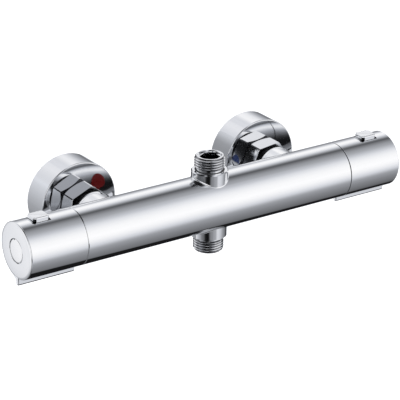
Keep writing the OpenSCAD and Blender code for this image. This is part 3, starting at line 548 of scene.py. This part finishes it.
barrel = join(knob_barrel(), knob_fin())
tidy_skin(barrel)
for part, stem, slot in ((barrel, "knob", "chrome"), (knob_cap(), "cap", "chrome_cap"),
                         (knob_button(), "button", "chrome")):
    painted(part, FINISH[slot])
    left = copied(part, "flow_" + stem + "_piece", MIRROR_X)
    rename(part, "temp_" + stem + "_piece")
    for piece, node in ((part, "temp_" + stem), (left, "flow_" + stem)):
        fitted(piece, BODY_OF[node], slot, node)


# Outlet nipples, made on the origin's axis and moved to the bar

CORE_R = OUTLET_R - 1.25
NECK_TOP = 25.6
MOUTH_EDGE = 0.05


def thread_skin():
    """Pipe thread on the nipple: one ridge wound up the barrel, run in at the neck and led in at the top."""
    pitch, depth, start, turns = 1.814, 1.162, 23.4, 6
    run_in, lead_in_slope = 1.1, 1.0
    root = OUTLET_R - depth
    flank = [(root, 0), (root + 0.10, 0.12), (root + 0.42, 0.33), (root + 0.78, 0.55),
             (OUTLET_R - 0.10, 0.74)]
    ridge = flank + [(OUTLET_R, pitch / 2)] + [(r, pitch - z) for r, z in reversed(flank)]
    skin = trace("thread", [(r, 0, start + z) for r, z in ridge])
    to_object()
    applied(skin, "SCREW", axis="Z", steps=72, render_steps=72, screw_offset=pitch * MM, iterations=turns,
            use_merge_vertices=True, merge_threshold=CLOSE)
    for height, clear_top in ((NECK_TOP, False), (NIPPLE_TOP, True)):
        to_edit(skin)
        bpy.ops.mesh.bisect(plane_co=(0, 0, height * MM), plane_no=(0, 0, 1), clear_outer=clear_top,
                            clear_inner=not clear_top, threshold=CLOSE / 2)
        to_object()
    for vertex in skin.data.vertices:
        x, y, z = vertex.co / MM
        allowed = min(CORE_R + (z - NECK_TOP) * run_in,
                      CORE_R + MOUTH_EDGE + (NIPPLE_TOP - z) * lead_in_slope)
        reach = math.hypot(x, y)
        if reach > allowed:
            vertex.co = Vector((x * allowed / reach, y * allowed / reach, z)) * MM
    tidy_skin(skin, 60)
    return skin


def nipple_core():
    """Spigot, neck, mouth and hexagon socket."""
    bore_r, spigot_r, neck_foot = 5.4, 8.4, 24
    socket_half, socket_depth, socket_turn = 6.2, 12, -5
    mouth = [(CORE_R, NIPPLE_TOP - 0.4), (CORE_R + MOUTH_EDGE, NIPPLE_TOP), (8.3, NIPPLE_TOP),
             (7.75, NIPPLE_TOP - 0.45), (7.6, NIPPLE_TOP - 1.2), (bore_r, NIPPLE_TOP - 1.3)]
    outline = [(bore_r, NIPPLE_FOOT), (spigot_r, NIPPLE_FOOT), (spigot_r, neck_foot), (CORE_R, neck_foot),
               (CORE_R, NECK_TOP)] + mouth + [(bore_r, NIPPLE_FOOT)]
    core = turned("core", outline, lambda r, h: (r, 0, h), (0, 0, 1), steps=96)
    socket = hexagon(socket_half, socket_depth)
    socket.data.transform(shift(0, 0, NIPPLE_TOP - socket_depth / 2) @ turn(socket_turn, "Z"))
    cut(core, socket)
    tidy_skin(core)
    return core


skin, core = thread_skin(), nipple_core()
painted(skin, THREAD_CHROME)
painted(core, CHROME)
top_nipple = join(core, skin)
bottom_nipple = copied(top_nipple, "bottom_nipple_piece", ON_BAR @ UPSIDE_DOWN)
top_nipple.data.transform(ON_BAR)
rename(top_nipple, "top_nipple_piece")
fitted(top_nipple, BODY_OF["top_nipple"], "chrome", "top_nipple")
fitted(bottom_nipple, BODY_OF["bottom_nipple"], "chrome", "bottom_nipple")


# Fillets and boss rims of the casting

COLLAR_R = 12.6
LEG_R = 14.3


def fillet_section(angle, boss_r):
    """The fillet's section at one angle round the boss: the roll, with its edges sunk into the metal."""
    ball, rolled, sink, skirt, inside = 1.0, 11, 0.06, 0.5, 0.9
    out = Vector((math.cos(angle), math.sin(angle), 0))
    high = math.sqrt((BAR_R + ball) ** 2 - ((boss_r + ball) * out.y) ** 2)
    centre = out * (boss_r + ball) + Vector((0, 0, high))
    to_boss = -out
    to_bar = -Vector((0, centre.y, centre.z)) / (BAR_R + ball)
    wedge = to_boss.angle(to_bar)
    section = [centre + to_boss * (ball + sink) + Vector((0, 0, skirt))]
    for k in range(rolled):
        t = k / (rolled - 1)
        way = to_boss * math.sin((1 - t) * wedge) + to_bar * math.sin(t * wedge)
        section.append(centre + way / math.sin(wedge) * ball)
    along = (out + to_bar * -out.dot(to_bar)).normalized()
    section.append(section[-1] + along * skirt + to_bar * sink)
    section.append(section[-1] + to_bar * ball)
    for rise in (-1.9, 0.3):
        section.append(out * (boss_r - inside) + Vector((0, 0, high + rise)))
    return section


def saddle(name, boss_r):
    """Cast fillet where a round boss leaves the bar: a ring whose section is rolled along the joint."""
    around = 144
    sections = [fillet_section(2 * math.pi * i / around, boss_r) for i in range(around)]
    deselect()
    bpy.ops.mesh.primitive_torus_add(major_segments=around, minor_segments=len(sections[0]),
                                     major_radius=20 * MM, minor_radius=MM, location=(0, 0, 0))
    ring = rename(bpy.context.object, name)
    for vertex, point in zip(ring.data.vertices, sum(sections, [])):
        vertex.co = point * MM
    tidy_skin(ring, 40)
    painted(ring, CHROME)
    return ring


def shade_painted_towards_wall(piece):
    """Chrome outside, and painted shade on the faces that look at the wall: they get the near-black shade
    metal.
    """
    towards_wall = 0.3
    painted(piece, CHROME, PAINTED_SHADE_METAL)
    for face in piece.data.polygons:
        # Faces turned to the wall get the painted shade
        face.material_index = 1 if face.normal.y > towards_wall else 0


def leg_rim(x):
    """Rolled rim round the end of a leg boss, close behind the union nut."""
    bore, rim_r, near, far, roll = 11.5, LEG_R + 0.02, 37.1, 39.9, 0.92
    outline = ([(bore, far), (bore, near), (rim_r - roll, near)]
               + arc((rim_r - roll, near + roll), roll, -90, 0, 6)[1:] + [(rim_r, far), (bore, far)])
    rim = turned_on_wall("leg_rim", x, outline, steps=144)
    shade_painted_towards_wall(rim)
    return rim


collar_fillet = saddle("collar_fillet", COLLAR_R)
leg_fillet = saddle("leg_fillet", LEG_R)
trims = [copied(collar_fillet, "lower_fillet", ON_BAR @ UPSIDE_DOWN)]
for side in (-1, 1):
    trims.append(copied(leg_fillet, "leg_fillet_copy", shift(side * INLET_X, BAR_Y, 0) @ UP_TO_WALL))
for side in (-1, 1):
    trims.append(leg_rim(side * INLET_X))
collar_fillet.data.transform(ON_BAR)
bpy.data.objects.remove(leg_fillet, do_unlink=True)
casting_fillets = rename(join(collar_fillet, *trims), "casting_fillets")
fitted(casting_fillets, BODY_OF["body"], "chrome")


# Union nuts and wall covers

def union_nut(name, x, turned_by):
    """Hexagon bar, coned at both ends and bored for the tailpiece, with its edges just broken."""
    half_flats, front = 14.5, NUT_FRONT - 0.1
    bore_r, back_r, back_slope = 13.27, 13.9, math.tan(math.radians(38))
    neck_r, neck_depth, front_r, front_slope = 11.1, 3.1, 16.3, math.tan(math.radians(24))
    corner_edge, broken_edge, bar_middle, bar_depth = 0.5, 0.1, 27, 20
    reach = half_flats / COS_30 + 0.4
    outline = [(bore_r, NUT_BACK), (back_r, NUT_BACK), (reach, NUT_BACK + (reach - back_r) * back_slope),
               (reach, front - (reach - front_r) * front_slope), (front_r, front), (neck_r, front),
               (neck_r, front - neck_depth), (bore_r, front - neck_depth), (bore_r, NUT_BACK)]
    nut = turned_on_wall(name, x, outline, steps=144)
    bar = hexagon(half_flats, bar_depth)
    bar.data.transform(shift(x, -bar_middle, 0) @ turn(90, "X") @ turn(turned_by + 30, "Z"))
    bevel_edges(bar, lambda a, b: abs(a.y - b.y) > 1, corner_edge, 1)
    cut(nut, bar, "INTERSECT")
    applied(nut, "BEVEL", width=broken_edge * MM, segments=1, limit_method="ANGLE",
            angle_limit=math.radians(40), use_clamp_overlap=True)
    tidy_skin(nut, 25)
    shade_painted_towards_wall(nut)
    return nut


def wall_cover(name, x):
    """Spun drum cover: front that falls away near its shoulder, rolled rim at the wall, softened hole."""
    hole, flat_r, round_r, tilt = 13.52, 22, 0.8, 4
    sheet, inner_r, inner_front, hole_back, edge = 0.9, 0.5, 18.9, 19.1, 0.25
    steep = math.radians(tilt)
    dome = (COVER_R - round_r * (1 - math.sin(steep)) - flat_r) / math.sin(steep)
    falling = arc((flat_r, COVER_DEPTH - dome), dome, 90, 90 - tilt, 5)
    shoulder_h = falling[-1][1] - round_r * math.cos(steep)
    outline = ([(hole + edge, COVER_DEPTH)] + falling
               + arc((COVER_R - round_r, shoulder_h), round_r, 90 - tilt, 0, 8)[1:] + [(COVER_R, edge)]
               + arc((COVER_R - edge, edge), edge, 0, -90, 3)[1:] + [(COVER_R - sheet, 0)]
               + arc((COVER_R - sheet - inner_r, inner_front - inner_r), inner_r, 0, 90, 4)
               + [(hole, hole_back)] + arc((hole + edge, COVER_DEPTH - edge), edge, 180, 90, 3))
    cover = turned_on_wall(name, x, outline, steps=160)
    painted(cover, COVER_CHROME)
    return cover


for side, name, turned_by in ((-1, "hot", 22.9), (1, "cold", 7)):
    nut = union_nut(name + "_union_nut_piece", side * INLET_X, turned_by)
    fitted(nut, BODY_OF[name + "_union_nut"], "chrome", name + "_union_nut")
    cover = wall_cover(name + "_wall_cover_piece", side * INLET_X)
    fitted(cover, BODY_OF[name + "_wall_cover"], "chrome", name + "_wall_cover")


# Studio, seen only in the chrome: the camera itself sees white

def grey(value, blue=1.06):
    return (value * 0.98, value, value * blue, 1)


def cool_grey(value):
    """Neutral where it is bright, and a little cooler the darker it gets."""
    cool = min(1, max(0, (1.1 - value) * 2.5))
    return (value * (1.01 - 0.03 * cool), value, value * (1 + 0.065 * cool), 1)


def angle_ramp(tree, angle, stops):
    """Light round a circle of angles; each stop is an angle in degrees and a brightness."""
    place = add(tree, "ShaderNodeMapRange", {"Value": angle, "From Min": -math.pi, "From Max": math.pi})
    return graded(tree, place.outputs["Result"],
                  [(degrees / 360 + 0.5, cool_grey(value)) for degrees, value in stops])


def light_along_bar(tree, pitch, x):
    """Light by pitch, from 0 in front over the top to 180 behind: what rolls round the bar and the knobs.

    Below, a dark patch is widest in the middle and narrows to both sides.
    """
    rolled = angle_ramp(tree, pitch, [
        (-180, 0.24), (-171, 0.15), (-160, 0.06), (-148, 0.02), (-130, 0.01), (-115, 0.01), (-108, 0.08),
        (-98, 0.15), (-82, 0.20), (-64, 0.26), (-46, 0.36), (-40, 0.44), (-28, 0.74), (-16, 0.94), (-4, 1.07),
        (8, 1.13), (26, 1.08), (38, 1.0), (50, 0.86), (62, 0.64), (74, 0.45), (86, 0.34), (98, 0.19),
        (104, 0.11), (110, 0.20), (122, 0.64), (131, 0.95), (143, 1.10), (152, 0.96), (164, 0.55),
        (176, 0.31)])
    dark_slope, dark_from = 2.461, 0.4538
    sideways = maths(tree, "ABSOLUTE", x)
    above_dark = maths(tree, "ADD", pitch, maths(tree, "MULTIPLY_ADD", sideways, dark_slope, dark_from))
    clear = maths(tree, "MAXIMUM", soft_step(tree, above_dark, -0.02, 0.10),
                  soft_step(tree, pitch, -2.35, -2.53))
    return mixed_colour(tree, clear, grey(0.01), rolled)


def light_on_left(tree, compass, z):
    """Light by compass, from 0 in front to 180 behind: what nipples, nuts and covers see on the left."""
    low = angle_ramp(tree, compass, [
        (-178, 0.06), (-167, 0.40), (-155, 0.84), (-147, 0.94), (-141, 0.87), (-134, 0.98), (-125, 1.12),
        (-115, 0.98), (-108, 0.66), (-95, 0.49), (-85, 0.38), (-75, 0.21), (-65, 0.16), (-58, 0.08),
        (-52, 0.01), (-33, 0.005), (-28, 0.10), (-20, 0.25), (-10, 0.28), (0, 0.38), (12, 0.42), (22, 0.46),
        (40, 0.50), (90, 0.4), (135, 0.2), (152, 0.04)])
    high = angle_ramp(tree, compass, [
        (-180, 0.92), (-168, 0.95), (-158, 0.88), (-148, 0.78), (-141, 0.45), (-132, 0.08), (-115, 0.02),
        (-60, 0.01), (-40, 0.02), (-22, 0.05), (-10, 0.12), (-2, 0.36), (5, 0.47), (16, 0.74), (30, 0.95),
        (60, 0.7), (100, 0.3), (140, 0.7), (160, 0.78), (170, 0.86)])
    left = mixed_colour(tree, soft_step(tree, z, 0.05, 0.60), low, high)
    left = mixed_colour(tree, soft_step(tree, z, -0.42, -0.57), left, grey(0.45))
    return mixed_colour(tree, soft_step(tree, z, -0.70, -0.95), left, grey(0.12))


def studio_world():
    """Room that a reflected ray sees by its direction: one light along the bar, another on the left.

    First reflections also find the front left as bright as the right, except at the level that the nuts and
    nipples show to the photo's camera, and a light panel low behind the right end, where its end face looks.
    """
    world = bpy.data.worlds.new("studio")
    bpy.context.scene.world = world
    world.use_nodes = True
    tree = world.node_tree
    tree.nodes.clear()
    coords = add(tree, "ShaderNodeTexCoord").outputs["Generated"]
    split = add(tree, "ShaderNodeSeparateXYZ", {0: coords}).outputs
    x, z = split["X"], split["Z"]
    to_front = maths(tree, "MULTIPLY", split["Y"], -1.0)
    along_bar = light_along_bar(tree, maths(tree, "ARCTAN2", z, to_front), x)
    left = light_on_left(tree, maths(tree, "ARCTAN2", x, to_front), z)

    def all_of(*masks):
        result = masks[0]
        for mask in masks[1:]:
            result = maths(tree, "MULTIPLY", result, mask)
        return result

    # Cycles counts 2 for a ray that left the camera and was mirrored once
    path = add(tree, "ShaderNodeLightPath").outputs
    first_mirror = maths(tree, "LESS_THAN", path["Ray Depth"], 2.5)
    off_level = maths(tree, "MAXIMUM", soft_step(tree, z, -0.34, -0.22), soft_step(tree, z, -0.46, -0.56))
    front_left = all_of(soft_step(tree, to_front, -0.05, 0.15), soft_step(tree, x, -0.30, -0.42))
    left = mixed_colour(tree, all_of(off_level, front_left, first_mirror), left, along_bar)
    room = mixed_colour(tree, soft_step(tree, x, 0.40, 0.16), along_bar, left)
    behind_right = all_of(soft_step(tree, x, 0.25, 0.40), soft_step(tree, to_front, -0.30, -0.50))
    low_panel = all_of(soft_step(tree, z, -0.10, -0.22), soft_step(tree, z, -0.62, -0.50))
    room = mixed_colour(tree, all_of(behind_right, low_panel, first_mirror), room, grey(0.86))

    lit = add(tree, "ShaderNodeBackground", {"Color": room}).outputs[0]
    seen = add(tree, "ShaderNodeBackground", {"Color": (1, 1, 1, 1)}).outputs[0]
    add(tree, "ShaderNodeOutputWorld", {"Surface": mixed_shader(tree, path["Is Camera Ray"], lit, seen)})


def studio_floor():
    """Pale floor that lights the part from below, glows a little for the camera and never shows in chrome."""
    size, level, paint_grey, glow_strength = 6, -0.42, 0.92, 0.5
    deselect()
    bpy.ops.mesh.primitive_plane_add(size=size, location=(0, 0, level))
    floor = bpy.context.object
    floor.name = "studio_floor"
    mat, tree, out = bare_material("pale_floor")
    paint = add(tree, "ShaderNodeBsdfDiffuse", {"Color": (paint_grey, paint_grey, paint_grey, 1)}).outputs[0]
    glow = add(tree, "ShaderNodeEmission", {"Strength": glow_strength}).outputs[0]
    glowing = add(tree, "ShaderNodeAddShader", {0: paint, 1: glow}).outputs[0]
    clear = add(tree, "ShaderNodeBsdfTransparent").outputs[0]
    path = add(tree, "ShaderNodeLightPath").outputs
    lit = mixed_shader(tree, path["Is Camera Ray"], paint, glowing)
    tree.links.new(mixed_shader(tree, path["Is Glossy Ray"], lit, clear), out.inputs["Surface"])
    floor.data.materials.append(mat)


def side_card(name, x, deep, low, high, shades):
    """Graded grey card behind the wall line, seen only in the left side of one cover.

    Its shades are heights and brightnesses; its top is soft, and from behind it is clear.
    """
    near, soft_edge = 5, 25
    deselect()
    bpy.ops.mesh.primitive_plane_add(size=1, location=(0, 0, 0), rotation=(0, math.radians(90), 0))
    card = rename(bpy.context.object, name)
    bpy.ops.object.transform_apply(location=True, rotation=True, scale=True)
    card.data.transform(shift(x, (deep + near) / 2, (low + high) / 2)
                        @ Matrix.Diagonal((1, (deep - near) * MM, (high - low) * MM, 1)))
    mat, tree, out = bare_material(name + "_paint")
    coords = add(tree, "ShaderNodeTexCoord").outputs["Object"]
    z = add(tree, "ShaderNodeSeparateXYZ", {0: coords}).outputs["Z"]
    height = add(tree, "ShaderNodeMapRange", {"Value": z, "From Min": low * MM, "From Max": high * MM})
    colour = graded(tree, height.outputs["Result"],
                    [((at - low) / (high - low), grey(value, blue=1.05)) for at, value in shades])
    glow = add(tree, "ShaderNodeEmission", {"Color": colour}).outputs[0]
    clear = add(tree, "ShaderNodeBsdfTransparent").outputs[0]
    from_behind = add(tree, "ShaderNodeNewGeometry").outputs["Backfacing"]
    hidden = maths(tree, "MAXIMUM", soft_step(tree, z, (high - soft_edge) * MM, high * MM), from_behind)
    tree.links.new(mixed_shader(tree, hidden, glow, clear), out.inputs["Surface"])
    card.data.materials.append(mat)
    card.visible_camera = False
    card.visible_diffuse = False
    card.visible_shadow = False


def soft_lamp(name, place, size, watts):
    """Square lamp that lights the part and isn't mirrored by it (places in metres)."""
    aim = Vector((0, -0.05, 0))
    lamp = bpy.data.lights.new(name, "AREA")
    lamp.shape = "SQUARE"
    lamp.size = size
    lamp.energy = watts
    holder = bpy.data.objects.new(name, lamp)
    bpy.context.scene.collection.objects.link(holder)
    holder.location = place
    holder.rotation_euler = (aim - Vector(place)).to_track_quat("-Z", "Y").to_euler()
    holder.visible_glossy = False
    holder.visible_camera = False


def photo_camera():
    """The photo's camera, as fitted to the photo: its place, its roll and its lens."""
    azimuth, elevation, roll = (math.radians(a) for a in (34.801, 23.2, 1.004))
    distance, target = 1.536071, Vector((0.037762, 0, -0.03099))
    photo_pixels, lens_pixels, sensor_width = 400, 2153.198, 36
    look = Vector((math.sin(azimuth) * math.cos(elevation), math.cos(azimuth) * math.cos(elevation),
                   -math.sin(elevation)))
    right = Vector((math.cos(azimuth), -math.sin(azimuth), 0))
    up = right.cross(look)
    tilted_right = math.cos(roll) * right + math.sin(roll) * up
    tilted_up = math.cos(roll) * up - math.sin(roll) * right
    lens = bpy.data.cameras.new("photo_camera")
    lens.sensor_width = sensor_width
    lens.lens = lens_pixels / photo_pixels * sensor_width
    lens.clip_start = 0.01
    camera = bpy.data.objects.new("photo_camera", lens)
    bpy.context.scene.collection.objects.link(camera)
    facing = Matrix((tilted_right, tilted_up, -look)).transposed()
    camera.matrix_world = Matrix.Translation(target - look * distance) @ facing.to_4x4()
    bpy.context.scene.camera = camera


studio_world()
studio_floor()
side_card("hot_side_card", x=-160, deep=290, low=-190, high=75,
          shades=[(-150, 0.33), (-49, 0.43), (-15, 0.54), (36, 0.77), (55, 0.88)])
side_card("cold_side_card", x=0, deep=95, low=-72, high=95,
          shades=[(-70, 0.33), (15, 0.35), (35, 0.40), (50, 0.52), (68, 0.68)])
soft_lamp("front_lamp", (-0.5, -1.4, 1.1), 1.2, 24)
soft_lamp("side_lamp", (1.3, -0.6, 0.7), 0.9, 9)
photo_camera()
bpy.context.scene.view_settings.view_transform = "Standard"
